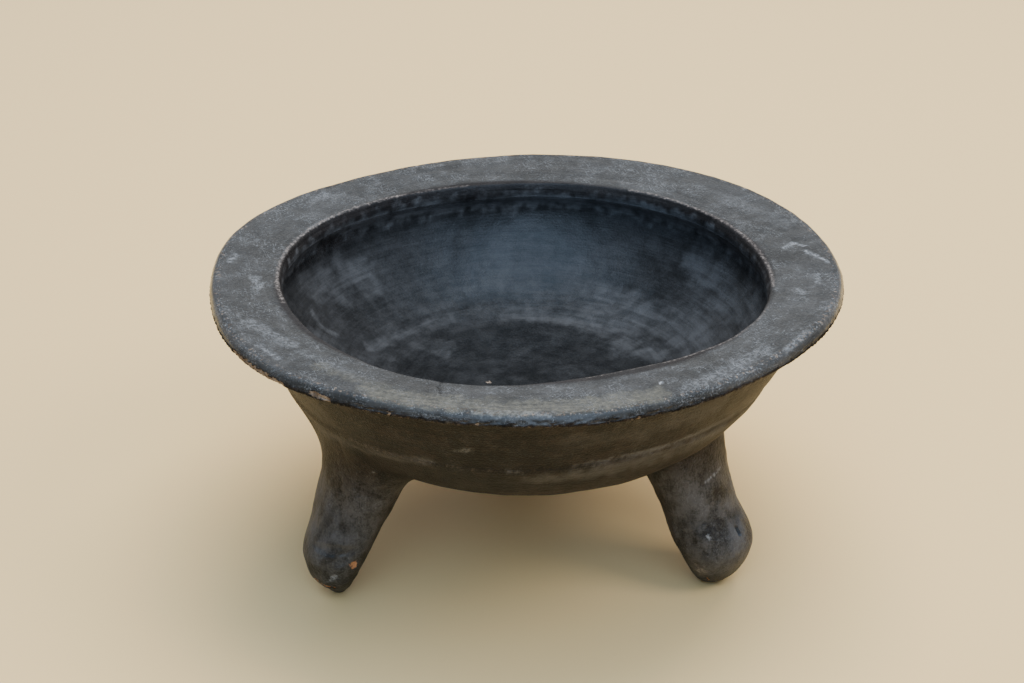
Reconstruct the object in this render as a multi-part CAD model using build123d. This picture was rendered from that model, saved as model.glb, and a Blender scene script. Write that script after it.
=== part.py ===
from build123d import *
import os

# A three-footed clay grinding bowl, fired black and burnished, about 200 mm across its flat rim.
# Frame: millimetres, +Z up. The origin is on the ground under the middle of the bowl. The three
# feet touch the ground at z = 0. -Y is the front, between the left and the right foot.
# The pieces are those that a potter joins: a floor disc, two wall bands and a flat rim, set edge
# to edge on bevelled (scarfed) joints, three hollow feet luted on below, and the roll of soft
# clay that is worked into the corner round the top of each foot.

# Rim: a flat flange that overhangs the wall outside and a narrow lip inside.
RIM_RADIUS = 100.8
RIM_EDGE_HEIGHT = 94.7  # height of the flange's top face at its outer edge
RIM_EDGE_THICKNESS = 4.0
LIP_RADIUS = 78.0
LIP_HEIGHT = 93.0
LIP_ROUNDING = 0.8
NECK_RADIUS = 76.6
NECK_HEIGHT = 89.5

# Outside of the bowl, as radius and height.
FLANGE_ROOT = (91.8, 87.6)
WALL_TOP = (89.6, 84.4)
WALL_MIDDLE = (84.3, 75.0)
SEAM = (78.0, 64.6)  # the ridge between the two wall bands
LOWER_WALL = [(75.0, 59.6), (69.4, 53.0), (61.6, 47.2), (50.0, 43.2)]
UNDERSIDE_HEIGHT = 40.4

# Inside of the bowl, as radius and height.
BELLY = (79.0, 86.0)
INNER_WALL = [(75.2, 77.0), (67.4, 67.4), (56.6, 60.0)]
CREASE = (46.0, 56.2)  # where the wall meets the dished floor
FLOOR_MIDDLE = (24.0, 51.8)
FLOOR_HEIGHT = 50.2

# Bevelled joints between the clay pieces, each from its inner to its outer edge.
RIM_JOINT = ((77.6, 88.2), (90.8, 85.8))
SEAM_JOINT = ((66.0, 69.0), SEAM)
FLOOR_JOINT = (CREASE, (53.0, 42.0))

# Feet: height above the ground, outward shift of the middle from the ground contact, and radial
# half-width. They splay outwards going down, and end in a rounded toe with a worn flat.
FOOT_SECTIONS = [
    (0.0, 0.0, 3.7),
    (2.5, 0.4, 5.7),
    (7.0, 1.1, 8.2),
    (15.0, 0.0, 11.3),
    (27.0, -5.5, 11.9),
    (40.0, -11.2, 13.4),
    (52.0, -15.6, 15.8),
    (64.0, -18.6, 18.6),
]
FOOT_SIDE_RATIO = 1.11  # half-width across the foot over its radial half-width
FOOT_WALL = 5.0
CAVITY_FLOOR = 9.0  # height where the hollow of a foot begins
VENT_RADIUS = 1.0
VENT_HEIGHT = 21.0
VENT_LENGTH = 16.0
VENT_SHIFT = {"outward": 6.0, "inward": -14.0}  # middle of the hole, from the ground contact

# Each foot: azimuth from +X, distance of its contact from the centre, how far its middle leans
# to the left seen from outside, width of its toe over the common one, leg of its luting roll,
# and which way its vent faces.
FEET = {
    "left": {"azimuth": 213.0, "reach": 71.4, "lean": -0.3, "toe": 0.90, "luting": 6.0, "vent": "inward"},
    "right": {"azimuth": 330.8, "reach": 67.6, "lean": 1.7, "toe": 1.11, "luting": 2.0, "vent": "outward"},
    "back": {"azimuth": 91.0, "reach": 69.0, "lean": 0.0, "toe": 1.0, "luting": 4.0, "vent": "inward"},
}
TOE_HEIGHT = 27.0  # above this every foot has the common width


def point(radius_and_height):
    """A profile point in the XZ plane."""
    radius, height = radius_and_height
    return Vector(radius, 0, height)


def outer_wall():
    """The outside of the bowl, from the middle of the underside up to the flange's root."""
    middle = (0.0, UNDERSIDE_HEIGHT)
    lower_points = [point(p) for p in [SEAM, *LOWER_WALL, middle]]
    lower = Spline(*lower_points, tangents=[point((-0.5, -0.9)), point((-1.0, 0.0))])
    upper = ThreePointArc(point(SEAM), point(WALL_MIDDLE), point(WALL_TOP))
    root = TangentArc(point(WALL_TOP), point(FLANGE_ROOT), tangent=upper % 1)
    return [lower, upper, root]


def rim_top():
    """The flange's underside, rounded outer edge, top face and lip, down to the belly."""
    half = RIM_EDGE_THICKNESS / 2
    edge_in = RIM_RADIUS - half
    under = (edge_in, RIM_EDGE_HEIGHT - RIM_EDGE_THICKNESS)
    nose = (RIM_RADIUS, RIM_EDGE_HEIGHT - half)
    over = (edge_in, RIM_EDGE_HEIGHT)
    lip_out = (LIP_RADIUS + LIP_ROUNDING, LIP_HEIGHT)
    lip_in = (LIP_RADIUS - LIP_ROUNDING * 0.6, LIP_HEIGHT - LIP_ROUNDING)
    underside = Line(point(FLANGE_ROOT), point(under))
    edge = ThreePointArc(point(under), point(nose), point(over))
    top = Line(point(over), point(lip_out))
    arris = TangentArc(point(lip_out), point(lip_in), tangent=top % 1)
    neck = Line(point(lip_in), point((NECK_RADIUS, NECK_HEIGHT)))
    undercut = Line(point((NECK_RADIUS, NECK_HEIGHT)), point(BELLY))
    return [underside, edge, top, arris, neck, undercut]


def inner_wall():
    """The inside of the bowl, from the belly down to the middle of the floor."""
    wall = Spline(*[point(p) for p in [BELLY, *INNER_WALL, CREASE]])
    floor = ThreePointArc(point(CREASE), point(FLOOR_MIDDLE), point((0.0, FLOOR_HEIGHT)))
    return [wall, floor]


def turned(edges):
    """The solid of revolution of a closed outline in the XZ plane."""
    return revolve(make_face(edges), Axis.Z, 360).solid()


def turned_polygon(corners):
    """The solid of revolution of a polygon given as radii and heights."""
    return turned(Polyline(*[point(p) for p in corners], close=True).edges())


def bowl_solid():
    """The whole bowl without its feet."""
    axis = Line(point((0.0, FLOOR_HEIGHT)), point((0.0, UNDERSIDE_HEIGHT)))
    return turned([*outer_wall(), *rim_top(), *inner_wall(), axis])


def bowl_envelope():
    """The bowl filled in up to the root of its flange, which trims the feet."""
    lid = Line(point(FLANGE_ROOT), point((0.0, FLANGE_ROOT[1])))
    axis = Line(point((0.0, FLANGE_ROOT[1])), point((0.0, UNDERSIDE_HEIGHT)))
    return turned([*outer_wall(), lid, axis])


def below_joint(joint):
    """Everything inside and below the cone that one bevelled joint lies on."""
    (r_in, z_in), (r_out, z_out) = joint
    slope = (z_out - z_in) / (r_out - r_in)
    far = 2 * RIM_RADIUS
    low = -3 * far
    far_end = (far, z_in + slope * (far - r_in))
    axis_end = (0.0, z_in - slope * r_in)
    return turned_polygon([(0.0, low), (far, low), far_end, axis_end])


def bowl_pieces(bowl):
    """The floor disc, the two wall bands and the rim, parted on their bevelled joints."""
    floor, seam, rim = [below_joint(joint) for joint in (FLOOR_JOINT, SEAM_JOINT, RIM_JOINT)]
    return {
        "base_disc": bowl & floor,
        "lower_wall": (bowl & seam) - floor,
        "upper_wall": (bowl & rim) - seam,
        "rim_flange": bowl - rim,
    }


def foot_loft(foot, shrink, floor_height):
    """A foot pointing along +X, every section smaller by shrink, starting at floor_height."""
    faces = []
    for height, shift, half in FOOT_SECTIONS:
        if height > floor_height:
            toe_share = max(0.0, 1.0 - height / TOE_HEIGHT) ** 0.5
            wide = half * (1.0 + (foot["toe"] - 1.0) * toe_share)
            plane = Plane(origin=(shift, foot["lean"], height))
            faces.append(plane * Ellipse(wide - shrink, wide * FOOT_SIDE_RATIO - shrink))
    return loft(faces)


def placed(shape, foot):
    """A foot shape moved out to its reach and turned to its azimuth."""
    return shape.moved(Pos(foot["reach"], 0, 0)).rotate(Axis.Z, foot["azimuth"])


def vent(foot):
    """The small round hole that lets steam out of a foot's hollow in the firing."""
    hole = Cylinder(VENT_RADIUS, VENT_LENGTH, rotation=(0, 90, 0))
    return placed(hole.moved(Pos(VENT_SHIFT[foot["vent"]], foot["lean"], VENT_HEIGHT)), foot)


def foot_and_luting(foot, envelope):
    """A hollow foot trimmed to the bowl, and the roll of clay in the corner above it."""
    core = placed(foot_loft(foot, 0.0, -1.0), foot)
    hollow = placed(foot_loft(foot, FOOT_WALL, CAVITY_FLOOR), foot)
    blank = core - envelope
    joined = envelope + core
    corner = new_edges(envelope, core, combined=joined)
    filled = joined.chamfer(foot["luting"], None, corner)
    luting = filled - envelope - blank
    shell = blank - hollow - vent(foot)
    return shell, luting


def main():
    os.makedirs("parts", exist_ok=True)
    envelope = bowl_envelope()
    nodes = bowl_pieces(bowl_solid())
    for name, foot in FEET.items():
        shell, luting = foot_and_luting(foot, envelope)
        nodes["foot_" + name] = shell
        nodes["luting_coil_" + name] = luting
    for name, shape in nodes.items():
        export_step(shape, os.path.join("parts", name + ".step"))
        print(f"{name}: {shape.volume / 1000:.2f} cm3, {len(shape.solids())} solid")


main()
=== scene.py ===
"""The looks of a hand-built black clay grinding bowl on three feet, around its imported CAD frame.

Every clay piece is rebuilt as a closed, hand-formed mesh in the place of its CAD node. Lengths in
the tables below are millimetres, as in the CAD, and become metres when a mesh is made. Azimuths
are degrees from +X towards +Y, so the back is 90 and the front, towards the camera, is 270.
"""

import itertools
import math

import bmesh
import bpy
import numpy as np
from mathutils import Matrix, Vector


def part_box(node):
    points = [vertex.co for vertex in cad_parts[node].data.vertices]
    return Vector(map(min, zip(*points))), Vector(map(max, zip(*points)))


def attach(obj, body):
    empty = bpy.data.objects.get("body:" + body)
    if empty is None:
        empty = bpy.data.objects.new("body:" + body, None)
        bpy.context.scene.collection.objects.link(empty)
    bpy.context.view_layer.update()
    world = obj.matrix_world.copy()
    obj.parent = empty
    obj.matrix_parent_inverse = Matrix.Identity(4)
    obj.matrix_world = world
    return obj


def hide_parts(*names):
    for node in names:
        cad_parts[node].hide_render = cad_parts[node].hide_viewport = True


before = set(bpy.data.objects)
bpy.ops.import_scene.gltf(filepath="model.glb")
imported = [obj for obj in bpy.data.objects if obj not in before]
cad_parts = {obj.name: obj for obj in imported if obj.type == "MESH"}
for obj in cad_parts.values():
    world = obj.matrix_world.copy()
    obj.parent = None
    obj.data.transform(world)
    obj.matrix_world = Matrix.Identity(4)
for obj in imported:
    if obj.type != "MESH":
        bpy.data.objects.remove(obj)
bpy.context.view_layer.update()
MM = 0.001

# ---------------------------------------------------------------- sizes, from the frame
rim_low, rim_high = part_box("rim_flange")
RIM = (rim_high.x - rim_low.x) / 2 / MM
TOP = rim_high.z / MM

# The bowl's outline as radius and height, going from the underside out, up, over and in.
UNDERSIDE = [(0.0, 40.4), (26.0, 40.9), (50.0, 43.2), (61.6, 47.2), (69.4, 53.0), (75.0, 59.6)]
SEAM = (78.0, 64.6)
UPPER_WALL = [(78.5, 65.5), (84.3, 75.0), (89.2, 83.8)]
FLANGE_ROOT = [(90.4, 85.8), (92.4, 87.6), (95.6, 89.2)]
EDGE = [(RIM - 0.9, TOP - 3.9), (RIM - 0.1, TOP - 3.4), (RIM, TOP - 2.6), (RIM - 0.5, TOP - 1.3)]
EDGE_TOP = [(RIM - 1.2, TOP - 0.45), (RIM - 2.3, TOP - 0.05), (RIM - 4.5, TOP - 0.1)]
FLANGE_TOP = [(92.0, TOP - 0.5), (85.0, TOP - 1.1), (80.2, TOP - 1.5)]
LIP = [(78.4, 93.05), (77.9, 92.95), (77.6, 92.6)]
NECK = [(77.2, 91.6), (76.7, 89.8)]
BELLY = [(76.9, 88.0), (77.9, 85.9), (78.2, 83.6)]
INNER_WALL = [(75.4, 77.0), (67.6, 67.4), (56.8, 60.0), (49.5, 56.9)]
FLOOR = [(45.6, 55.6), (40.0, 54.5), (24.0, 51.8), (0.0, 50.2)]

# Where the clay pieces meet, on the outside and the inside of the bowl.
SEAMS = {"floor": (53.0, 46.0), "seam": (SEAM, (67.6, 67.4)), "rim": ((90.4, 85.8), (76.9, 88.0))}

# Waves of the hand-made rim: for 1 to 6 waves round, height in mm and azimuth of a crest.
LIP_WAVES = [(0.3, 135), (0.3, 20), (0.7, 19), (1.2, 65), (0.35, 45), (0.2, 21)]
EDGE_WAVES = [(1.4, 72), (1.3, 48), (0.5, 51), (0.5, 61), (0.65, 2), (0.55, 39)]
FRONT_DROOP = 0.9
FLANGE_MIDDLE = 90.0

# How many vertices run round each clay piece, and how many rows cross a joint's hidden faces.
AROUND = {"disc": 600, "band": 900, "flange": 1040, "foot": 240}
JOINT_ROWS = 8

# Foot outline: height, outward shift from the ground contact, radial half-width.
FOOT_OUTLINE = [
    (0.0, 0.0, 0.0),
    (0.0, 0.0, 2.1),
    (0.6, 0.1, 3.2),
    (2.5, 0.4, 5.1),
    (7.0, 1.1, 8.1),
    (15.0, 0.0, 11.3),
    (27.0, -5.5, 11.9),
    (40.0, -11.2, 13.4),
    (52.0, -15.6, 15.8),
    (64.0, -18.6, 18.6),
    (78.0, -21.0, 21.6),
]
FOOT_SIDE_RATIO = 1.11
FEET = {
    "left": {
        "azimuth": 213.0,
        "reach": 71.4,
        "aside": -0.3,
        "toe": 0.90,
        "tip": 0.75,
        "fillet": (13.0, 8.0),
    },
    "right": {
        "azimuth": 330.8,
        "reach": 67.6,
        "aside": 1.7,
        "toe": 1.11,
        "tip": 1.0,
        "fillet": (1.0, 1.0),
    },
    "back": {
        "azimuth": 91.0,
        "reach": 69.0,
        "aside": 0.0,
        "toe": 1.0,
        "tip": 0.9,
        "fillet": (6.0, 5.0),
    },
}
# Vents and finger dents: angle round the foot, height, half width, half height, depth. Their
# angles are measured at one radius.
DENT_RADIUS = 12.0
DENTS = {
    "left": [(180, 21, 1.1, 1.1, 3.0), (48, 20.5, 9.0, 2.2, 0.5), (62, 17.5, 3.2, 3.4, 0.6)],
    "right": [(-12, 21, 0.6, 1.7, 2.8), (-95, 17, 5.0, 9.0, 0.5)],
    "back": [(180, 21, 1.1, 1.1, 3.0), (35, 19, 6.0, 3.0, 0.5)],
}


# ---------------------------------------------------------------- numbers and noise
def ramp(value, low, high):
    """0 below low, 1 above high, smooth between."""
    t = np.clip((np.asarray(value, float) - low) / (high - low), 0.0, 1.0)
    return t * t * (3.0 - 2.0 * t)


class Noise:
    """Seeded gradient noise over arrays of points."""

    def __init__(self, seed):
        rng = np.random.default_rng(seed)
        self.table = rng.permutation(256)
        slopes = rng.normal(size=(256, 3))
        self.slopes = slopes / np.linalg.norm(slopes, axis=1, keepdims=True)

    def __call__(self, points):
        cell = np.floor(points).astype(int)
        inside = points - cell
        fade = inside**3 * (inside * (inside * 6 - 15) + 10)
        total = np.zeros(points.shape[:-1])
        for corner in itertools.product((0, 1), repeat=3):
            near = (cell + corner) & 255
            key = self.table[near[..., 0]]
            key = self.table[(key + near[..., 1]) & 255]
            key = self.table[(key + near[..., 2]) & 255]
            slope = ((inside - corner) * self.slopes[key]).sum(-1)
            weight = np.where(corner, fade, 1 - fade).prod(-1)
            total += slope * weight
        return total * 1.7

    def fractal(self, points, octaves):
        """Octaves of noise, each half as high and twice as fine, from -1 to 1 or so."""
        total = np.zeros(points.shape[:-1])
        for octave in range(octaves):
            total += self(points * 2**octave + 17.3 * octave) / 2**octave
        return total


LUMPS = Noise(3)
MARKS = Noise(11)
SPOTS = Noise(29)


def smooth_path(points, spacing):
    """A Catmull-Rom curve through points of any dimension, resampled at an even spacing."""
    p = np.asarray(points, float)
    p = np.vstack([2 * p[0] - p[1], p, 2 * p[-1] - p[-2]])
    gaps = np.sqrt(np.linalg.norm(np.diff(p, axis=0), axis=1)).clip(1e-6)
    knots = np.concatenate([[0.0], np.cumsum(gaps)])
    dense = []
    for i in range(1, len(p) - 2):
        t = np.linspace(knots[i], knots[i + 1], 24, endpoint=False)[:, None]
        k0, k1, k2, k3 = knots[i - 1 : i + 3]
        a1 = (k1 - t) / (k1 - k0) * p[i - 1] + (t - k0) / (k1 - k0) * p[i]
        a2 = (k2 - t) / (k2 - k1) * p[i] + (t - k1) / (k2 - k1) * p[i + 1]
        a3 = (k3 - t) / (k3 - k2) * p[i + 1] + (t - k2) / (k3 - k2) * p[i + 2]
        b1 = (k2 - t) / (k2 - k0) * a1 + (t - k0) / (k2 - k0) * a2
        b2 = (k3 - t) / (k3 - k1) * a2 + (t - k1) / (k3 - k1) * a3
        dense.append((k2 - t) / (k2 - k1) * b1 + (t - k1) / (k2 - k1) * b2)
    dense = np.vstack([*dense, p[-2][None]])
    along = np.concatenate([[0.0], np.cumsum(np.linalg.norm(np.diff(dense, axis=0), axis=1))])
    count = max(2, int(round(along[-1] / spacing)) + 1)
    even = np.linspace(0.0, along[-1], count)
    return np.stack([np.interp(even, along, dense[:, k]) for k in range(p.shape[1])], -1)


def unit(vectors):
    """Vectors made one long."""
    return vectors / np.linalg.norm(vectors, axis=-1, keepdims=True).clip(1e-9)


# ---------------------------------------------------------------- the bowl's surfaces
def wander(azimuth, crests):
    """How far the hand-made rim strays outwards at each azimuth."""
    waves = enumerate(crests, 1)
    return sum(high * np.cos(n * (azimuth - math.radians(at))) for n, (high, at) in waves)


def strayed(azimuth, radius, height):
    """Radius and height with the rim's waves, which fade out down the wall, and its low front."""
    edge = ramp(radius, LIP[0][0], RIM - 3.0)
    depth = ramp(height, 52.0, 88.0)
    stray = wander(azimuth, EDGE_WAVES) * edge + wander(azimuth, LIP_WAVES) * (1 - edge)
    droop = FRONT_DROOP * ramp(-np.sin(azimuth), 0.3, 0.95) * ramp(radius, 87.0, 98.0)
    return radius + stray * depth, height - droop


def turned_points(profile, azimuth):
    """Points and normals of the bowl's outline at each azimuth, before hand-forming."""
    slope = unit(np.gradient(profile, axis=0))
    radius, height = profile[:, 0][:, None], profile[:, 1][:, None]
    cos, sin = np.cos(azimuth)[None], np.sin(azimuth)[None]
    radius, height = strayed(azimuth[None], radius, height)
    flat = np.ones_like(cos)
    points = np.stack([radius * cos, radius * sin, height * flat], -1)
    out, up = slope[:, 1][:, None], -slope[:, 0][:, None]
    normals = np.stack([out * cos, out * sin, up * flat], -1)
    return points, normals


def cylinder_streaks(points, girth, step):
    """Noise coordinates that run long round the bowl and short across it."""
    radius = np.hypot(points[..., 0], points[..., 1]).clip(1.0)
    turn = points[..., :2] / radius[..., None] * girth
    across = (radius + 1.7 * points[..., 2]) / step
    return np.concatenate([turn, across[..., None]], -1)


def hand_formed(points, normals):
    """Bowl points moved along their normals: soft lumps, the seam's ridge, a rough lower arris
    on the rim, and shallow burnishing grooves."""
    radius, height = np.hypot(points[..., 0], points[..., 1]), points[..., 2]
    outside = (points[..., :2] * normals[..., :2]).sum(-1) > 0.2 * radius
    firm = ramp(radius, LIP[0][0] - 2.0, LIP[0][0] + 4.0) * ramp(height, 84.0, 90.0)
    lumps = (0.34 - 0.20 * firm) * LUMPS.fractal(points / 26.0, 2)
    ripple = 0.10 * MARKS.fractal(points / 7.0, 2)
    grooves = 0.055 * MARKS.fractal(cylinder_streaks(points, 3.0, 2.2), 2)
    pits = -0.10 * ramp(SPOTS(points / 1.9), 0.52, 0.80)
    ridge = ramp(height, SEAM[1] - 7.0, SEAM[1]) * (1 - ramp(height, SEAM[1] + 0.3, SEAM[1] + 1.6))
    arris = 1 - ramp(np.hypot(radius - EDGE[0][0], height - EDGE[0][1]), 0.6, 2.4)
    rough = 0.26 * arris * SPOTS.fractal(points / 1.3, 2)
    push = lumps + ripple + grooves + pits + rough + 0.55 * ridge * outside
    return points + normals * push[..., None]


def bowl_profile():
    """The whole outline from the middle of the underside round to the middle of the floor."""
    parts = [UNDERSIDE, [SEAM], UPPER_WALL, FLANGE_ROOT, EDGE, EDGE_TOP, FLANGE_TOP]
    parts += [LIP, NECK, BELLY, INNER_WALL, FLOOR]
    dense = smooth_path([p for part in parts for p in part], 0.05)
    radius, height = dense.T
    fine = ramp(radius, RIM - 7.0, RIM - 3.5)
    lip_gap = np.hypot(radius - LIP[0][0], height - LIP[1][1])
    fine = np.maximum(fine, 1 - ramp(lip_gap, 2.5, 7.0))
    step = 0.95 - 0.62 * fine
    count = np.concatenate([[0.0], np.cumsum(0.05 / step[1:])])
    even = np.linspace(0, count[-1], int(count[-1]) + 1)
    return np.stack([np.interp(even, count, dense[:, k]) for k in range(2)], -1)


def nearest(profile, place, after=0):
    """The index of the outline point nearest to a place, at or after a given index."""
    gap = np.linalg.norm(profile[after:] - np.asarray(place), axis=1)
    return after + int(gap.argmin())


# ---------------------------------------------------------------- meshes
def skin(name, rows, looped=False):
    """A closed mesh through rows of points that each run once round. Rows that have shrunk to a
    point become poles, and a looped skin joins its last row to its first."""
    rows = np.asarray(rows, float)
    count, around = rows.shape[:2]
    index = np.arange(count * around).reshape(count, around)
    grid = np.vstack([index, index[:1]]) if looped else index
    right = np.roll(grid, -1, axis=1)
    quads = np.stack([grid[:-1], right[:-1], right[1:], grid[1:]], -1).reshape(-1, 4)
    mesh = bpy.data.meshes.new(name)
    mesh.from_pydata((rows.reshape(-1, 3) * MM).tolist(), [], quads.tolist())
    shape = bmesh.new()
    shape.from_mesh(mesh)
    bmesh.ops.remove_doubles(shape, verts=shape.verts, dist=0.002 * MM)
    shape.to_mesh(mesh)
    shape.free()
    mesh.shade_smooth()
    mesh.set_sharp_from_angle(angle=math.radians(42))
    piece = bpy.data.objects.new(name, mesh)
    bpy.context.scene.collection.objects.link(piece)
    return piece


def bridge(start, end, count):
    """Rows that run straight from one row of points to another, without either end."""
    share = np.linspace(0, 1, count + 2)[1:-1, None, None]
    return start[None] * (1 - share) + end[None] * share


def bowl_pieces():
    """The floor disc, the two wall bands and the rim, cut from one hand-formed surface."""
    profile = bowl_profile()
    rim_out = nearest(profile, SEAMS["rim"][0])
    rim_in = nearest(profile, SEAMS["rim"][1], rim_out + 60)
    seam_out = nearest(profile[:rim_out], SEAMS["seam"][0])
    seam_in = nearest(profile, SEAMS["seam"][1], rim_in)
    floor_out = nearest(profile[:seam_out], SEAMS["floor"][0])
    floor_in = nearest(profile, SEAMS["floor"][1], rim_in)

    def rows(start, end, around):
        azimuth = np.linspace(0, 2 * math.pi, around, endpoint=False)
        points, normals = turned_points(profile[start : end + 1], azimuth)
        return chipped(hand_formed(points, normals), normals)

    def band(name, outer, inner):
        outside, inside = rows(*outer, AROUND["band"]), rows(*inner, AROUND["band"])
        top = bridge(outside[-1], inside[0], JOINT_ROWS)
        bottom = bridge(inside[-1], outside[0], JOINT_ROWS)
        return skin(name, np.vstack([outside, top, inside, bottom]), looped=True)

    disc_low = rows(0, floor_out, AROUND["disc"])
    disc_high = rows(floor_in, len(profile) - 1, AROUND["disc"])
    disc_low[0], disc_high[-1] = disc_low[0].mean(0), disc_high[-1].mean(0)
    joint = bridge(disc_low[-1], disc_high[0], JOINT_ROWS)
    flange = rows(rim_out, rim_in, AROUND["flange"])
    under = bridge(flange[-1], flange[0], JOINT_ROWS)
    return {
        "base_disc": skin("floor_clay", np.vstack([disc_low, joint, disc_high])),
        "lower_wall": band("lower_wall_clay", (floor_out, seam_out), (seam_in, floor_in)),
        "upper_wall": band("upper_wall_clay", (seam_out, rim_out), (rim_in, seam_in)),
        "rim_flange": skin("rim_clay", np.vstack([flange, under]), looped=True),
    }


# ---------------------------------------------------------------- chips, scuffs, dust, and painted light and shade
def arc(start, stop, radius, height):
    """Places on a level arc round the bowl."""
    return [(at, radius, height) for at in np.linspace(start, stop, 2 + abs(stop - start) // 4)]


def lip_arc(start, stop):
    """Places along the rim's inner lip."""
    (radius, height), turn = LIP[0], math.radians
    return [(at, radius + wander(turn(at), LIP_WAVES), h) for at, _, h in arc(start, stop, 0, height)]


# Each mark is its half width, its strength and the places that it runs through, which are
# azimuth, radius and height. The strength of a chip or a crack is its depth. Scuffs are pale
# scratched spots, and three of them are painted glints. Smears are soft grey film, and some of
# them are painted light on shaded places and a painted highlight on the seam's ridge. Worn edges
# are rubbed down to paler clay, and the worn arc on the seam's ridge is a painted highlight.
CHIPS = [
    (1.0, 0.25, [(211, 101.4, 91.4), (216, 101.6, 91.6), (221, 101.6, 91.4), (226, 101.3, 91.0)]),
    (1.3, 0.30, [(232.5, 101.0, 91.6), (236, 100.5, 91.0)]),
    (0.9, 0.4, [(288.3, 99.4, 90.7)]),
    (1.0, 0.3, [(262, 99.5, 90.9)]),
    (1.0, 0.3, [(247, 99.8, 91.0)]),
    (1.0, 0.3, [(327, 100.2, 91.2)]),
    (0.9, 0.3, [(20, 100.2, 91.2)]),
    (1.2, 0.4, [(73, 102.0, 91.5)]),
    (1.0, 0.3, [(146.9, 13.9, 50.7)]),
    (2.3, 0.4, [(221.3, 72.5, 15.3), (222.4, 72.0, 14.6)]),
    (0.9, 0.3, [(218.8, 73.4, 5.2)]),
    (1.5, 0.5, [(213.0, 79.0, 7.2), (216.5, 77.0, 4.8), (219, 74.0, 3.4)]),
    (0.9, 0.3, [(325.0, 70.0, 4.0), (331, 72.0, 4.0)]),
]
CRACKS = [(0.6, 0.35, [(252.3, 80, 93.1), (252.5, 83, 93.4), (253.2, 86, 93.6), (254.1, 88.5, 93.9)])]
SCUFFS_AND_GLINTS = [
    (3.6, 0.38, [(204, 91.0, 94.1), (210, 89.0, 94.1), (217, 87.0, 93.9)]),
    (3.0, 0.20, [(221, 87.0, 93.8), (229, 86.5, 93.8), (236, 88.5, 93.8)]),
    (1.4, 0.60, [(214, 95.5, 94.5), (221, 95.5, 94.5)]),
    (1.0, 1.00, [(11.6, 86.4, 93.7), (13.4, 90.0, 94.0), (11.0, 92.5, 94.2)]),
    (0.9, 1.00, [(9.0, 91.5, 94.1), (5.9, 93.9, 94.5), (2.1, 97.0, 94.6)]),
    (0.8, 0.70, [(357, 92.4, 94.2), (353, 92.4, 94.2)]),
    (1.4, 0.55, [(350, 86.5, 93.8), (348, 88.5, 93.9)]),
    (5.0, 0.16, [(40, 91.5, 94.0), (31, 92.5, 94.1), (22, 93.5, 94.2)]),
    (3.4, 0.38, [(299, 94.5, 94.6), (311, 92.0, 94.3), (321, 92.0, 94.3)]),
    (1.8, 0.55, [(322, 96.5, 94.6), (331, 96.5, 94.6)]),
    (1.2, 0.80, [(164.3, 96.3, 94.7)]),
    (1.6, 0.60, [(172, 94.0, 94.3), (175, 94.5, 94.3)]),
    (2.2, 0.60, [(182, 85.0, 93.7), (187, 84.0, 93.7)]),
    (2.6, 0.35, [(141, 92.6, 94.3), (136, 93.4, 94.3)]),
    (1.4, 0.60, [(66.2, 93.6, 94.2)]),
    # A painted glint on the front of the rim.
    (0.8, 3.00, [(295.8, 88.4, 94.0)]),
    (2.4, 0.55, [(262, 97.5, 94.6), (274, 98.0, 94.6)]),
    (1.2, 0.40, [(256, 84.0, 73.5), (259, 84.8, 74.5)]),
    (0.7, 0.90, [(227.1, 68.3, 49.2)]),
    (0.7, 0.60, [(325.4, 68.3, 38.4), (328.0, 69.0, 39.6), (331.5, 69.8, 40.6)]),
    # A painted glint on the right foot.
    (1.0, 1.20, [(322.6, 72.2, 21.7)]),
    # A painted glint on the left foot's toe.
    (1.3, 1.00, [(219.0, 77.2, 10.9), (217.5, 77.8, 9.6)]),
]
SMEARS_AND_PAINTED_LIGHT = [
    (1.5, 0.50, [(165, 72.2, 71.5), (167, 68.0, 67.5), (165, 64.2, 64.2)]),
    (3.2, 0.30, [(160, 54.0, 58.6), (136, 51.0, 57.4), (120, 49.7, 57.0)]),
    (4.2, 0.34, [(95, 48.5, 56.5), (83, 46.6, 56.0), (66, 46.0, 55.9), (50, 45.0, 55.5)]),
    (7.0, 0.40, [(138, 37.6, 54.1)]),
    (7.0, 0.42, [(38, 41.0, 54.7), (20, 46.0, 56.2)]),
    # Painted light: grey film along the shaded neck under the lip, made strong to lift its shade.
    (4.6, 1.20, arc(-8, 188, 77.0, 86.8)),
    (10.0, 0.50, [(158, 75.4, 75.2), (140, 72.0, 71.5)]),
    (9.0, 0.55, [(37, 74.9, 75.6), (17, 72.8, 73.4), (2, 74.0, 75.0)]),
    (12.0, 0.40, [(178, 66.0, 66.0), (200, 70.0, 70.0)]),
    (12.0, 0.35, [(60, 56.0, 59.6), (30, 58.0, 60.5), (0, 62.0, 63.5)]),
    (7.0, 0.40, [(280, 86.0, 78.0), (312, 86.0, 78.0)]),
    (5.0, 0.70, [(272, 76.2, 61.0), (290, 76.6, 62.0), (311, 77.0, 63.2), (320, 77.2, 63.8)]),
    # Painted highlight: a pale line along the upper face of the seam's ridge on the front right.
    (1.4, 1.20, [(266, 78.7, 65.2), (290, 79.0, 66.2), (311, 79.3, 67.3), (322, 79.5, 67.8)]),
    (2.8, 0.60, [(212.7, 74.6, 58.0), (222.5, 76.4, 61.3), (235.7, 77.3, 63.3), (249, 80.0, 66.2)]),
    # Painted light on the left foot's outer side, this smear and the next.
    (9.0, 0.35, [(214, 73.0, 32.0), (215, 76.0, 20.0)]),
    (5.5, 0.80, [(209, 75.2, 34.0), (211, 78.2, 26.0), (215, 80.6, 17.0)]),
    # Painted light on the right foot's right side.
    (7.0, 0.80, [(325, 74.0, 11.0), (328, 78.0, 17.0), (332, 76.6, 23.0), (336, 73.0, 30.0)]),
]
DUST = [(6.5, 0.80, arc(243, 293, 94.0, 94.4)), (3.0, 0.5, arc(228, 243, 90.0, 94.0))]
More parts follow.
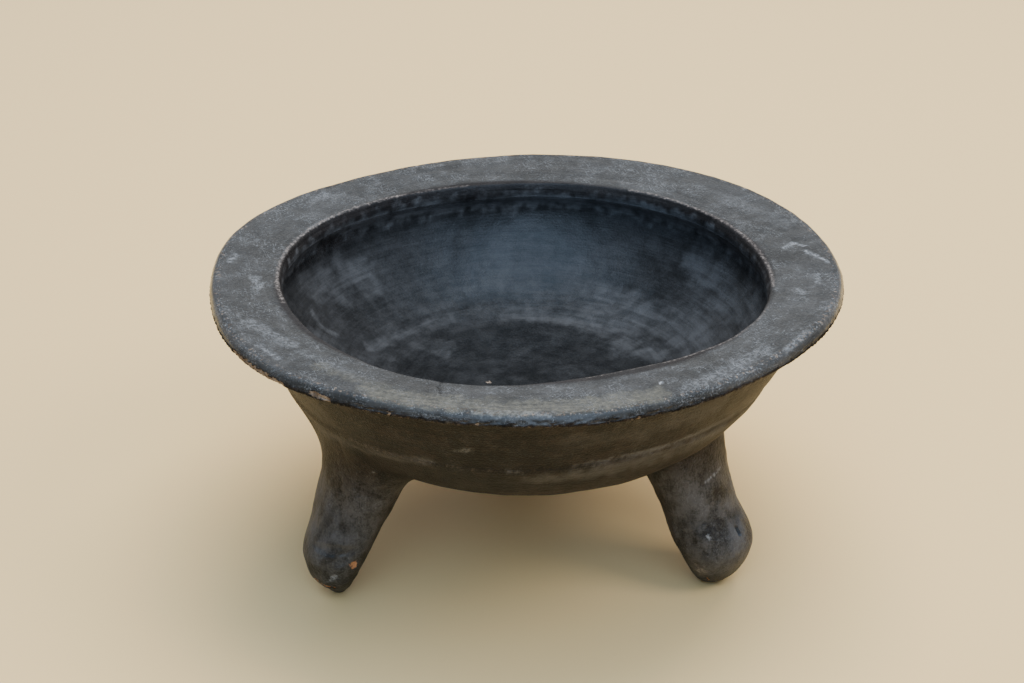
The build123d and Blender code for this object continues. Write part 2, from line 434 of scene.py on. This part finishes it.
WORN_AND_RIDGE_HIGHLIGHT = [
    (0.7, 0.30, lip_arc(104, 122)),
    (0.9, 0.70, lip_arc(122, 196)),
    (0.8, 0.60, lip_arc(-8, 62)),
    (0.5, 0.50, lip_arc(282, 340)),
    # Painted highlight: tan along the upper face of the seam's ridge on the front left.
    (1.0, 0.35, arc(228, 262, SEAM[0] + 0.6, SEAM[1] + 0.8)),
    (3.5, 0.85, [(322.8, 69.2, 8.5), (321, 67.5, 5.0)]),
]


def closeness(points, reach, path):
    """From 1 on a path through places down to 0 at a ragged distance of about reach from it."""
    turn = math.radians
    spots = np.array([(r * math.cos(turn(a)), r * math.sin(turn(a)), h) for a, r, h in path])
    low, high = spots.min(0) - 1.6 * reach, spots.max(0) + 1.6 * reach
    beside = ((points > low) & (points < high)).all(-1)
    chosen = points[beside]
    gap = np.full(len(chosen), np.inf)
    for start, end in zip(spots, [*spots[1:], spots[-1]]):
        run = end - start
        share = ((chosen - start) @ run / max(run @ run, 1e-9)).clip(0, 1)
        away = np.linalg.norm(chosen - start - share[:, None] * run, axis=1)
        gap = np.minimum(gap, away)
    gap += 0.50 * reach * SPOTS.fractal(chosen / (0.7 * reach + 0.4), 3)
    close = np.zeros(points.shape[:-1])
    close[beside] = 1 - ramp(gap, 0.25 * reach, reach)
    return close


def marked(points, marks):
    """The strongest of some marks at each point."""
    strength = np.zeros(points.shape[:-1])
    for reach, strong, path in marks:
        strength = np.maximum(strength, strong * closeness(points, reach, path))
    return strength


def chipped(points, normals):
    """Points pushed in where the clay is chipped or cracked."""
    depth = marked(points, CHIPS) + marked(points, CRACKS)
    return points - normals * depth[..., None]


def paint(piece, name, values):
    """A named value at each vertex, for the materials to read."""
    layer = piece.data.attributes.new(name, "FLOAT", "POINT")
    layer.data.foreach_set("value", np.asarray(values, np.float32))


def paint_marks(piece):
    """Where a piece is chipped, scuffed, dusty or worn, where light, shade and glints are painted on
    it, and which side of the bowl it is.
    """
    mesh, count = piece.data, len(piece.data.vertices)
    points, normals = np.empty(count * 3), np.empty(count * 3)
    mesh.vertices.foreach_get("co", points)
    mesh.vertex_normals.foreach_get("vector", normals)
    points, normals = points.reshape(-1, 3) / MM, normals.reshape(-1, 3)
    radius = np.hypot(points[:, 0], points[:, 1])
    outward = (points[:, :2] * normals[:, :2]).sum(1) / radius.clip(1e-6)
    upward = normals[:, 2]
    inside = ramp(upward - 1.2 * outward, 0.0, 0.5) * (1 - ramp(radius, 78.4, 80.5))
    # The rim's top takes a lighter look: partly its scuffed, filmed clay and partly a painted
    # reflection of the pale wall behind.
    at_lip, at_edge = ramp(upward, 0.70, 0.96), ramp(upward, 0.15, 0.40)
    facing = np.where(radius < FLANGE_MIDDLE, at_lip, at_edge)
    top = facing * ramp(radius, 78.0, 80.2) * ramp(points[:, 2], 90.0, 91.6)
    azimuth = np.arctan2(points[:, 1], points[:, 0])
    rings = [strayed(azimuth, r, h) for r, h in (EDGE[0], EDGE_TOP[1])]
    gaps = [np.hypot(radius - r, points[:, 2] - h) for r, h in rings]
    arris = 1 - ramp(np.min(gaps, axis=0), 0.3, 1.7)
    paint(piece, "inside", inside)
    # The bowl's floor takes darker tones, a painted shade.
    paint(piece, "floor", inside * (1 - ramp(radius, 41.0, 45.0)))
    paint(piece, "neck", inside * ramp(points[:, 2], 86.0, 88.5))
    paint(piece, "top", top)
    paint(piece, "arris", arris)
    rim_edge = ramp(radius, RIM - 3.0, RIM - 2.0) * ramp(points[:, 2], TOP - 5.0, TOP - 4.0)
    paint(piece, "polish", rim_edge * ramp(upward, 0.10, 0.30) * (1 - ramp(upward, 0.86, 0.95)))
    paint(piece, "dull", rim_edge * (1 - ramp(upward, 0.0, 0.30)))
    # The feet's sides that face the bowl's middle take the dark outside look as painted shade; the
    # feet's tops under the bowl take that look too.
    inner_side_shade = 1 - ramp(outward, -0.45, 0.05)
    paint(piece, "shoulder_and_inner_shade", np.maximum(ramp(points[:, 2], 34.0, 50.0), 0.8 * inner_side_shade))
    layers = {"bare": CHIPS, "crack": CRACKS}
    layers = {name: [(reach, 1.0, path) for reach, _, path in cuts] for name, cuts in layers.items()}
    layers |= {"scuff_and_glint": SCUFFS_AND_GLINTS, "smear_and_painted_light": SMEARS_AND_PAINTED_LIGHT, "dust": DUST, "worn_and_ridge_highlight": WORN_AND_RIDGE_HIGHLIGHT}
    for name, marks in layers.items():
        paint(piece, name, marked(points, marks))


# ---------------------------------------------------------------- feet
def under_bowl(flat):
    """Hand-formed points of the bowl's outside over positions on the ground plane."""
    outline = smooth_path([*UNDERSIDE, SEAM, *UPPER_WALL], 0.2)
    slopes = unit(np.gradient(outline, axis=0))
    radius = np.hypot(flat[..., 0], flat[..., 1])
    turn = flat / radius[..., None].clip(1e-6)
    height = np.interp(radius, outline[:, 0], outline[:, 1])
    out = np.interp(radius, outline[:, 0], slopes[:, 1])
    up = -np.interp(radius, outline[:, 0], slopes[:, 0])
    azimuth = np.arctan2(flat[..., 1], flat[..., 0])
    radius, height = strayed(azimuth, radius, height)
    points = np.concatenate([turn * radius[..., None], height[..., None]], -1)
    normals = unit(np.concatenate([turn * out[..., None], up[..., None]], -1))
    return points, hand_formed(points, normals)


class Foot:
    """One foot's surface, by how far along its outline and by angle round it, 0 outwards."""

    def __init__(self, name, spec):
        self.name, self.spec = name, spec
        self.angle = np.linspace(0, 2 * math.pi, AROUND["foot"], endpoint=False)
        outline = np.array(FOOT_OUTLINE)
        path = smooth_path(outline[1:, [0, 2, 1]], 0.2)
        base = np.linspace([0.0, 0.0, 0.0], path[0], 14)[:-1]
        self.path = np.vstack([base, path])
        self.along = np.concatenate(
            [[0.0], np.cumsum(np.linalg.norm(np.diff(self.path, axis=0), axis=1))]
        )
        self.top = self.meeting()

    def raw(self, along):
        """Points before hand-forming, at a distance along the outline for each angle."""
        height = np.interp(along, self.along, self.path[:, 0])
        half = np.interp(along, self.along, self.path[:, 1])
        shift = np.interp(along, self.along, self.path[:, 2])
        toe = 1 + (self.spec["toe"] - 1) * (1 - ramp(height, 10.0, 34.0))
        tip = 1 + (self.spec["tip"] - 1) * (1 - ramp(height, 0.0, 8.0))
        half = half * toe * tip
        cos, sin = np.cos(self.angle), np.sin(self.angle)
        out = self.spec["reach"] + shift + half * cos
        side = self.spec["aside"] * ramp(height, -10.0, 20.0) + half * FOOT_SIDE_RATIO * sin
        turn = math.radians(self.spec["azimuth"])
        x = out * math.cos(turn) - side * math.sin(turn)
        y = out * math.sin(turn) + side * math.cos(turn)
        return np.stack([x, y, np.broadcast_to(height, x.shape)], -1)

    def meeting(self):
        """How far along the outline each angle meets the bowl."""
        trial = np.arange(24.0, self.along[-1], 0.25)
        points = self.raw(np.broadcast_to(trial[:, None], (len(trial), AROUND["foot"])))
        bowl, _ = under_bowl(points[..., :2])
        above = points[..., 2] - bowl[..., 2]
        last = (above > 0).argmax(0)
        column = np.arange(AROUND["foot"])
        low, high = above[last - 1, column], above[last, column]
        return trial[last] - (trial[1] - trial[0]) * high / (high - low)

    def tangents(self, along):
        """Unit steps along the outline and round it, before hand-forming."""
        points = self.raw(along)
        up = unit(self.raw(along + 0.3) - self.raw((along - 0.3).clip(0)))
        around = unit(np.roll(points, -1, axis=1) - np.roll(points, 1, axis=1))
        return up, around

    def surface(self, along):
        """Hand-formed points at distances along the outline, an array with a row per ring."""
        points = self.raw(along)
        up, around = self.tangents(along)
        normals = unit(np.cross(around, up))
        lumps = 0.42 * LUMPS.fractal(points / 15.0, 2)
        ripple = 0.12 * MARKS.fractal(points / 5.0, 2)
        scrapes = 0.06 * MARKS.fractal(points / [2.2, 2.2, 16.0], 2)
        push = (lumps + ripple + scrapes) * ramp(points[..., 2], 0.2, 3.0)
        for at, height, across, tall, deep in DENTS[self.name]:
            turn = np.angle(np.exp(1j * (self.angle - math.radians(at)))) * DENT_RADIUS
            gap = np.hypot(turn / across, (points[..., 2] - height) / tall)
            push = push - deep * (1 - ramp(gap, 0.4, 1.1))
        return chipped(points + normals * push[..., None], normals)

    def piece(self):
        """The foot as a closed piece, from the worn flat up to the bowl and over its top."""
        share = np.linspace(0, 1, 190)[:, None]
        body = self.surface(share * self.top[None])
        body[0] = body[0].mean(0)
        centre = body[-1].mean(0)
        _, middle = under_bowl(centre[None, :2])
        lid = bridge(body[-1], np.broadcast_to(middle[0], body[-1].shape), 6)
        rows = np.vstack([body, lid, np.broadcast_to(middle, body[-1:].shape)])
        return skin("foot_clay_" + self.name, rows)

    def luting(self):
        """The clay smeared into the corner round the foot's top, feathered on to both."""
        outer, inner = self.spec["fillet"]
        size = inner + (outer - inner) * (0.5 + 0.5 * np.cos(self.angle))
        low = (self.top - size)[None]
        start, corner = self.surface(low)[0], self.surface(self.top[None])[0]
        leave = self.tangents(low)[0][0]
        flat = self.raw(self.top[None])[0, :, :2]
        away = unit(flat - flat.mean(0))
        climb = under_bowl(flat + away)[0][:, 2] - under_bowl(flat)[0][:, 2]
        reach = (size / np.sqrt(1 + climb**2))[:, None]
        end = under_bowl(flat + away * reach)[1]
        beyond, before = under_bowl(flat + away * (reach + 1))[0], under_bowl(flat + away * reach)[0]
        arrive = unit(beyond - before)
        pull = (0.36 * np.linalg.norm(end - start, axis=1))[:, None]
        share = np.linspace(0, 1, 40)[:, None, None]
        a, b, c, d = start, start + leave * pull, end - arrive * pull, end
        bend = (1 - share) ** 3 * a + 3 * (1 - share) ** 2 * share * b
        bend = bend + 3 * (1 - share) * share**2 * c + share**3 * d
        rows = np.vstack([bend, bridge(end, corner, 5), [corner], bridge(corner, start, 5)])
        return skin("luting_clay_" + self.name, rows, looped=True)


# ---------------------------------------------------------------- materials
class Nodes:
    """Short calls for building one node tree."""

    def __init__(self, tree):
        self.tree = tree

    def add(self, kind, inputs=None, **settings):
        node = self.tree.nodes.new(kind)
        for key, value in settings.items():
            setattr(node, key, value)
        for key, value in (inputs or {}).items():
            self.feed(node.inputs[key], value)
        return node

    def feed(self, socket, value):
        if isinstance(value, bpy.types.NodeSocket):
            self.tree.links.new(value, socket)
        else:
            socket.default_value = value

    def attribute(self, name):
        return self.add("ShaderNodeAttribute", attribute_name=name).outputs["Fac"]

    def math(self, operation, *values, clamp=False):
        inputs = dict(enumerate(values))
        return self.add("ShaderNodeMath", inputs, operation=operation, use_clamp=clamp).outputs[0]

    def product(self, first, *others):
        for other in others:
            first = self.math("MULTIPLY", first, other)
        return first

    def sum(self, first, *others):
        for other in others:
            first = self.math("ADD", first, other)
        return first

    def vector(self, operation, a, b=None):
        node = self.add("ShaderNodeVectorMath", {0: a}, operation=operation)
        if b is not None:
            self.feed(node.inputs[1], b)
        return node.outputs["Value" if operation == "LENGTH" else "Vector"]

    def noise(self, vector, scale, detail=4.0, rough=0.55):
        inputs = {"Vector": vector, "Scale": scale, "Detail": detail, "Roughness": rough}
        return self.add("ShaderNodeTexNoise", inputs).outputs["Fac"]

    def between(self, value, low, high):
        inputs = {"Value": value, "From Min": low, "From Max": high}
        node = self.add("ShaderNodeMapRange", inputs, interpolation_type="SMOOTHSTEP")
        return node.outputs["Result"]

    def mix(self, share, a, b):
        """A mix of two colours, or of two numbers."""
        colours = isinstance(a, tuple) or getattr(a, "type", None) == "RGBA"
        node = self.add("ShaderNodeMix", data_type="RGBA" if colours else "FLOAT")
        first = 6 if colours else 2
        for socket, value in zip((0, first, first + 1), (share, a, b)):
            self.feed(node.inputs[socket], (*value, 1.0) if isinstance(value, tuple) else value)
        return node.outputs[2 if colours else 0]

    def round_the_bowl(self, place, girth, step):
        """Coordinates that run long round the bowl and short across it, in noise cells."""
        flat = self.vector("MULTIPLY", place, (1.0, 1.0, 0.0))
        turn = self.vector("MULTIPLY", self.vector("NORMALIZE", flat), (girth, girth, 0.0))
        height = self.add("ShaderNodeSeparateXYZ", {0: place}).outputs["Z"]
        across = self.sum(self.vector("LENGTH", flat), self.product(height, 1.7))
        step_up = self.add("ShaderNodeCombineXYZ", {"Z": self.product(across, 1 / step)})
        return self.vector("ADD", turn, step_up.outputs[0])

    def scratches(self, place, turn, long, wide):
        """Short straight scratches that all run one way, from 0 to 1."""
        turned = self.add("ShaderNodeMapping", {"Vector": place, "Rotation": turn}).outputs[0]
        cells = self.vector("MULTIPLY", turned, (1 / long, 1 / wide, 1 / wide))
        return self.between(self.noise(cells, 1.0, 0.0), 0.67, 0.74)


# Each look of the clay: its dark and light tones and how softly they part, how much pale film
# lies on it, how rough and how flecked it is, and how coarse its grain feels.
LOOKS = {
    "outside": {
        "dark": (0.0008, 0.0007, 0.0006),
        "light": (0.0150, 0.0106, 0.0091),
        "softness": 0.15,
        "film": 0.05,
        "rough": 0.50,
        "flecks": 0.20,
        "grain": 2.0,
    },
    "inside": {
        "dark": (0.007, 0.007, 0.007),
        "light": (0.024, 0.0235, 0.024),
        "softness": 0.40,
        "film": 0.22,
        "rough": 0.36,
        "flecks": 0.03,
        "grain": 0.3,
    },
    # The bowl's floor: darker tones than the inside wall, a painted shade.
    "floor": {
        "dark": (0.004, 0.004, 0.004),
        "light": (0.015, 0.0147, 0.0147),
        "softness": 0.46,
        "film": 0.14,
        "rough": 0.38,
        "flecks": 0.05,
        "grain": 0.5,
    },
    "neck": {
        "dark": (0.008, 0.0065, 0.006),
        "light": (0.022, 0.018, 0.0165),
        "softness": 0.40,
        "film": 0.10,
        "rough": 0.52,
        "flecks": 0.03,
        "grain": 0.5,
    },
    # The rim's top: lighter than the outside, partly its scuffed, filmed clay and partly a painted
    # reflection of the pale wall behind.
    "top": {
        "dark": (0.023, 0.0225, 0.0215),
        "light": (0.050, 0.0482, 0.0455),
        "softness": 0.42,
        "film": 0.34,
        "rough": 0.46,
        "flecks": 0.65,
        "grain": 0.9,
    },
    "foot": {
        "dark": (0.006, 0.0058, 0.0055),
        "light": (0.080, 0.0745, 0.070),
        "softness": 0.34,
        "film": 0.36,
        "rough": 0.44,
        "flecks": 0.25,
        "grain": 1.0,
    },
}
# The grey of dust film, and of the painted light that some smears lay on shaded places.
FILM_AND_PAINTED_LIGHT = (0.102, 0.102, 0.105)
PALE = (0.36, 0.37, 0.38)
DUSTY = (0.165, 0.152, 0.118)
TANNED = (0.27, 0.23, 0.205)
BLACK = (0.006, 0.005, 0.004)
POLISHED, ROUGHEST = 0.24, 0.97
SPECULAR = 0.30
RELIEF_DEPTH = 0.24 * MM


def clay(name, base, zones, bare, turned):
    """Black clay rubbed with a pebble: cloudy, streaked, filmed with dust, scratched and chipped,
    with painted light, painted shade and painted glints where the marks put them.
    The zones are looks that take over where the attribute of that name says so."""
    material = bpy.data.materials.new(name)
    material.use_nodes = True
    n = Nodes(material.node_tree)
    shader = n.tree.nodes["Principled BSDF"]
    place = n.add("ShaderNodeTexCoord").outputs["Object"]

    look = LOOKS[base]
    for attribute, other in zones.items():
        share = n.attribute(attribute)
        look = {key: n.mix(share, look[key], LOOKS[other][key]) for key in look}

    if turned:
        lay = n.round_the_bowl(place, 5.0, 0.0011)
        wide_lay = n.round_the_bowl(place, 2.2, 0.0042)
        ways = [(0.0, 0.0, 0.35), (0.0, 0.0, 1.30), (0.0, 0.0, 2.30)]
    else:
        lay = n.vector("MULTIPLY", place, (700.0, 700.0, 200.0))
        wide_lay = n.vector("MULTIPLY", place, (170.0, 170.0, 110.0))
        ways = [(0.0, 1.30, 0.4), (0.0, 1.75, 0.0), (0.9, 1.10, 0.6)]

    cloud = n.between(n.noise(place, 34.0, 5.0, 0.6), 0.38, 0.64)
    mottle = n.between(n.noise(place, 230.0, 4.0, 0.66), 0.36, 0.66)
    grain = n.between(n.noise(place, 1500.0, 2.0), 0.30, 0.70)
    streak = n.between(n.noise(lay, 1.0, 3.0, 0.6), 0.32, 0.68)
    band = n.between(n.noise(wide_lay, 1.0, 4.0, 0.66), 0.36, 0.66)
    tone = n.sum(n.product(cloud, 0.22), n.product(mottle, 0.26), n.product(streak, 0.14))
    tone = n.sum(tone, n.product(band, 0.18), n.product(grain, 0.20))
    softness = look["softness"]
    tone = n.between(tone, n.math("SUBTRACT", 0.5, softness), n.sum(softness, 0.5))
    colour = n.mix(tone, look["dark"], look["light"])

    # The scuff and smear marks also bring painted glints, painted light and a painted highlight into
    # the pale marks and the film.
    scuff_and_glint = n.attribute("scuff_and_glint")
    crumble = n.between(n.noise(place, 850.0, 4.0, 0.75), 0.45, 0.60)
    patches = n.between(n.noise(place, 60.0, 6.0, 0.66), 0.36, 0.70)
    smear_and_painted_light = n.sum(n.product(band, 0.32), n.product(mottle, 0.22), 0.30)
    film_marks_and_painted_light = n.sum(n.product(scuff_and_glint, 0.45), n.product(n.attribute("smear_and_painted_light"), smear_and_painted_light))
    film = n.math("ADD", n.product(patches, look["film"], smear_and_painted_light), film_marks_and_painted_light, clamp=True)
    matt = n.math("SUBTRACT", 1.0, n.attribute("polish"))
    film = n.product(film, matt)
    colour = n.mix(film, colour, FILM_AND_PAINTED_LIGHT)

    lines = [n.scratches(place, turn, 0.0036, 0.0003) for turn in ways]
    lines = n.math("MAXIMUM", n.math("MAXIMUM", lines[0], lines[1]), lines[2])
    rubbed = n.between(n.noise(place, 120.0, 2.0), 0.40, 0.62)
    lines = n.product(lines, n.sum(n.product(rubbed, look["flecks"], 0.30), n.product(scuff_and_glint, 0.45)))
    arris = n.attribute("arris")
    fleck = n.between(n.noise(place, 1400.0, 3.0, 0.6), 0.59, 0.68)
    often = n.product(look["flecks"], n.sum(n.product(rubbed, 0.35), 0.2))
    amount = n.sum(often, n.product(arris, 0.25))
    fleck = n.product(fleck, amount)
    pale = n.math("MAXIMUM", n.math("MAXIMUM", lines, fleck), n.product(scuff_and_glint, crumble, 0.65))
    colour = n.mix(pale, colour, PALE)

    dusting = n.sum(n.product(streak, 0.35), n.product(crumble, 0.40), 0.15)
    dust = n.product(n.attribute("dust"), dusting, matt)
    colour = n.mix(dust, colour, DUSTY)
    # The worn marks also hold a painted highlight on the seam's ridge.
    worn_and_ridge_highlight = n.product(n.attribute("worn_and_ridge_highlight"), n.sum(n.product(crumble, 0.85), 0.10))
    colour = n.mix(worn_and_ridge_highlight, colour, TANNED)
    chips = n.product(n.between(n.noise(place, 800.0, 3.0, 0.7), 0.55, 0.61), arris, 0.6)
    ragged = n.sum(n.attribute("bare"), n.product(crumble, 0.35))
    bald = n.math("ADD", n.between(ragged, 0.45, 0.75), chips, clamp=True)
    colour = n.mix(bald, colour, n.mix(mottle, *bare))
    colour = n.mix(n.attribute("crack"), colour, BLACK)
    n.feed(shader.inputs["Base Color"], colour)

    clean = n.sum(look["rough"], n.product(cloud, 0.06), n.product(streak, 0.06))
    roughness = n.sum(clean, n.product(film, 0.18), n.product(pale, 0.2), n.product(dust, 0.2))
    roughness = n.sum(roughness, n.product(bald, 0.35))
    roughness = n.mix(matt, POLISHED, roughness)
    raised = n.sum(n.product(arris, 0.15), n.product(n.attribute("dull"), 0.45))
    roughness = n.math("MINIMUM", n.sum(roughness, raised), ROUGHEST)
    n.feed(shader.inputs["Roughness"], roughness)
    shader.inputs["Specular IOR Level"].default_value = SPECULAR

    relief = n.sum(n.product(streak, 0.2), n.product(mottle, 0.25), n.product(grain, 0.35))
    relief = n.product(relief, look["grain"], matt)
    relief = n.sum(relief, n.product(lines, -0.4), n.product(bald, -0.6))
    bump = n.add("ShaderNodeBump", {"Height": relief, "Distance": RELIEF_DEPTH})
    n.feed(shader.inputs["Normal"], bump.outputs[0])
    return material


# ---------------------------------------------------------------- the object
TAN = ((0.11, 0.08, 0.058), (0.30, 0.235, 0.18))
ORANGE = ((0.36, 0.15, 0.065), (0.62, 0.31, 0.16))
BURNISHED, SMOOTHED = "burnished_black_clay", "smoothed_black_clay"
BOWL_ZONES = {zone: zone for zone in ("inside", "floor", "neck", "top")}
clays = {
    BURNISHED: clay(BURNISHED, "outside", BOWL_ZONES, TAN, True),
    SMOOTHED: clay(SMOOTHED, "foot", {"shoulder_and_inner_shade": "outside"}, ORANGE, False),
}

pieces = {node: (piece, BURNISHED) for node, piece in bowl_pieces().items()}
for name, spec in FEET.items():
    foot = Foot(name, spec)
    pieces["foot_" + name] = (foot.piece(), SMOOTHED)
    pieces["luting_coil_" + name] = (foot.luting(), SMOOTHED)

for node, (piece, slot) in pieces.items():
    paint_marks(piece)
    piece.data.materials.append(clays[slot])
    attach(piece, "root")
    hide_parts(node)


# ---------------------------------------------------------------- stage, light and camera
FLOOR_TONE = (0.84, 0.57, 0.25)
GROUND_GLOW = (0.05, 0.05, 0.053)
WHITE_WALL = (1.10, 1.08, 1.05)
HAZE = (0.22, 0.225, 0.24)
OPEN_SKY = (2.1, 3.0, 4.2)
LENS, SENSOR_WIDTH = 80.86, 36.0
CAMERA_DISTANCE = 0.7401
CAMERA_LIFT, CAMERA_ROLL = 25.75, -0.38
CAMERA_TARGET = Vector((-0.0040, 0.0, 0.0691))


def stage_floor():
    """A plain pale floor."""
    bpy.ops.mesh.primitive_plane_add(size=8.0)
    floor = bpy.context.active_object
    floor.name = "floor"
    material = bpy.data.materials.new("pale_floor")
    material.use_nodes = True
    shader = material.node_tree.nodes["Principled BSDF"]
    shader.inputs["Base Color"].default_value = (*FLOOR_TONE, 1)
    shader.inputs["Roughness"].default_value = 0.6
    floor.data.materials.append(material)


def area_light(name, place, target, size, power, colour):
    """A square soft light at a place, aimed at a target. It isn't mirrored in the clay."""
    data = bpy.data.lights.new(name, "AREA")
    data.size, data.energy, data.color = size, power, colour
    lamp = bpy.data.objects.new(name, data)
    bpy.context.scene.collection.objects.link(lamp)
    lamp.location = place
    aim = Vector(target) - Vector(place)
    lamp.rotation_euler = aim.to_track_quat("-Z", "Y").to_euler()
    lamp.visible_glossy = False


def sky():
    """Soft light from all round: an open blue sky above and in front, a white wall behind."""
    world = bpy.data.worlds.new("studio")
    bpy.context.scene.world = world
    world.use_nodes = True
    n = Nodes(world.node_tree)
    ways = n.add("ShaderNodeTexCoord").outputs["Generated"]
    way = n.add("ShaderNodeSeparateXYZ", {0: ways}).outputs
    low = n.mix(n.between(way["Y"], 0.3, 0.8), GROUND_GLOW, WHITE_WALL)
    dome = n.mix(n.between(way["Z"], 0.35, 0.70), low, HAZE)
    forward = n.math("SUBTRACT", 1.0, n.between(way["Y"], 0.0, 0.42))
    ahead = n.math("SUBTRACT", 1.0, n.between(n.math("ABSOLUTE", way["X"]), 0.15, 0.65))
    clear = n.product(n.between(way["Z"], 0.22, 0.66), forward, ahead)
    n.feed(n.tree.nodes["Background"].inputs["Color"], n.mix(clear, dome, OPEN_SKY))


def photo_camera():
    """The camera: a long lens, a little rolled, looking down on the bowl from in front."""
    data = bpy.data.cameras.new("camera")
    data.lens, data.sensor_width = LENS, SENSOR_WIDTH
    camera = bpy.data.objects.new("camera", data)
    bpy.context.scene.collection.objects.link(camera)
    lift = math.radians(CAMERA_LIFT)
    away = Vector((0.0, -math.cos(lift), math.sin(lift)))
    camera.location = CAMERA_TARGET + away * CAMERA_DISTANCE
    turn = (-away).to_track_quat("-Z", "Y").to_matrix()
    roll = Matrix.Rotation(math.radians(CAMERA_ROLL), 3, "Z")
    camera.rotation_euler = (turn @ roll).to_euler()
    bpy.context.scene.camera = camera


stage_floor()
sky()
area_light("overhead", (0.15, 0.45, 1.3), (0, 0.1, 0), 1.0, 26.0, (1.0, 0.95, 0.88))
area_light("side", (0.85, -0.3, 0.95), (0, 0, 0.05), 0.5, 6.0, (1.0, 0.98, 0.95))
photo_camera()
